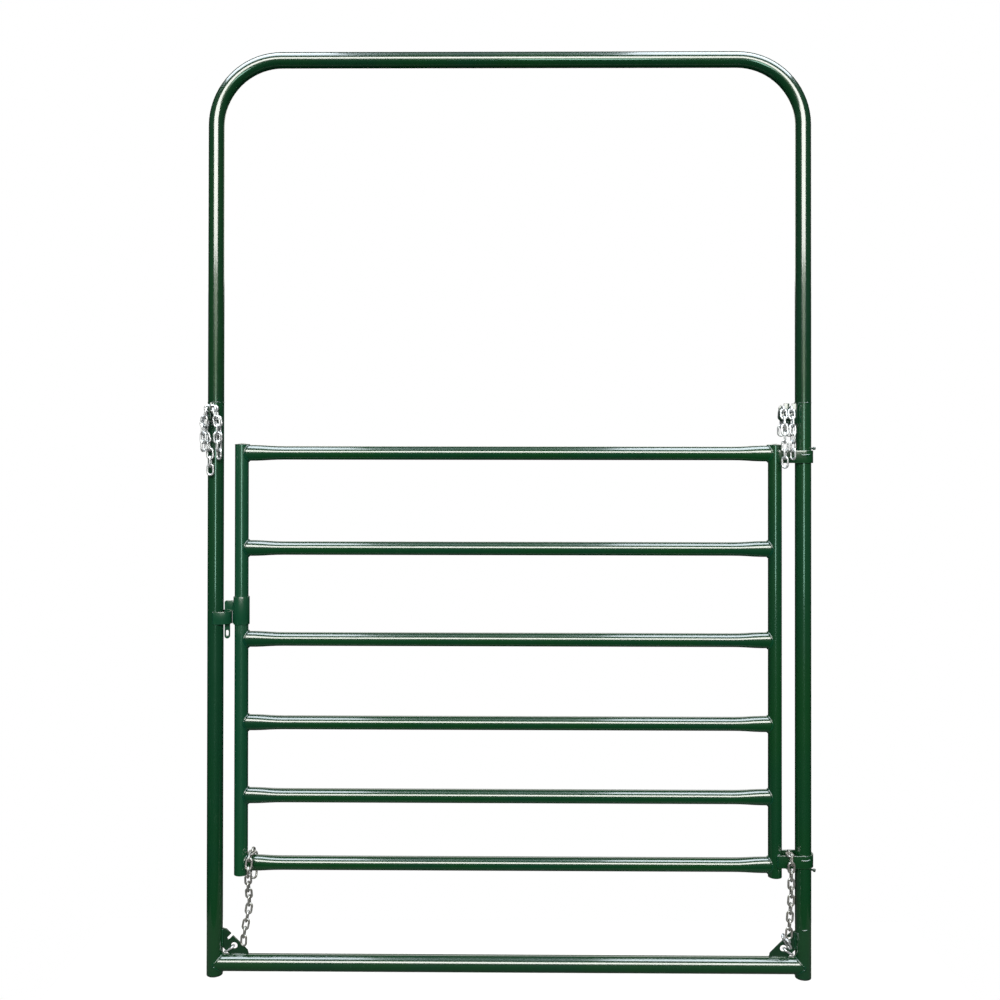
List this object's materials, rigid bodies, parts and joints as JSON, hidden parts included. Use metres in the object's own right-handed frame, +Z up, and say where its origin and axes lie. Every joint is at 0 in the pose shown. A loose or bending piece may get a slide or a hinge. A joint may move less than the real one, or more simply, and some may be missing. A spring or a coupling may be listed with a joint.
{
  "type": "livestock pen bow gate",
  "caption": "Walk-through livestock pen gate of green steel tube: a tall bow frame, a railed leaf hinged to its post, a drop latch, and zinc chains that tie it to pen panels.",
  "frame": {"origin": "centre of the flat underside of the plug under the hinge post, which is also a point of the leaf's hinge axis", "axes": "+Z up along the hinge post, -X from the hinge post to the latch post, -Y out of the front, where the tie chains of the hinge side hang"},
  "size_m": [1.8458, 0.123, 2.8001],
  "materials": {
    "green_paint": "gloss",
    "black_plug": "satin",
    "zinc_chain": "zinc plated"
  },
  "bodies": {
    "frame": {"latch_post": "green_paint", "hinge_post": "green_paint", "bow_tube": "green_paint", "bottom_sill": "green_paint", "latch_post_foot_cap": "black_plug", "hinge_post_foot_cap": "black_plug", "latch_side_gusset": "green_paint", "hinge_side_gusset": "green_paint", "latch_keeper_strap": "green_paint", "latch_side_chain_bracket": "green_paint", "hinge_side_chain_bracket": "green_paint", "latch_side_tie_chain": "zinc_chain", "hinge_side_tie_chain": "zinc_chain", "upper_hinge_stop_bolt": "green_paint", "lower_hinge_stop_bolt": "green_paint", "latch_side_gusset_links": "zinc_chain", "hinge_side_gusset_links": "zinc_chain"},
    "leaf": {"latch_stile": "green_paint", "hinge_stile": "green_paint", "latch_stile_top_cap": "green_paint", "hinge_stile_top_cap": "green_paint", "latch_stile_bottom_cap": "green_paint", "hinge_stile_bottom_cap": "green_paint", "bottom_rail": "green_paint", "fifth_rail": "green_paint", "fourth_rail": "green_paint", "third_rail": "green_paint", "second_rail": "green_paint", "top_rail": "green_paint", "upper_hinge_strap": "green_paint", "lower_hinge_strap": "green_paint", "latch_side_hanging_chain": "zinc_chain", "hinge_side_hanging_chain": "zinc_chain"},
    "latch": {"latch_sleeve": "green_paint", "latch_plate": "green_paint"}
  },
  "joints": [
    {"name": "leaf_swing", "type": "hinge", "parent": "frame", "child": "leaf", "pos_m": [0, 0, 0.9635], "axis": [0, 0, -1], "range_deg": [0, 100]},
    {"name": "latch_lift", "type": "slide", "parent": "leaf", "child": "latch", "axis": [0, 0, 1], "range_m": [0, 0.1]}
  ]
}
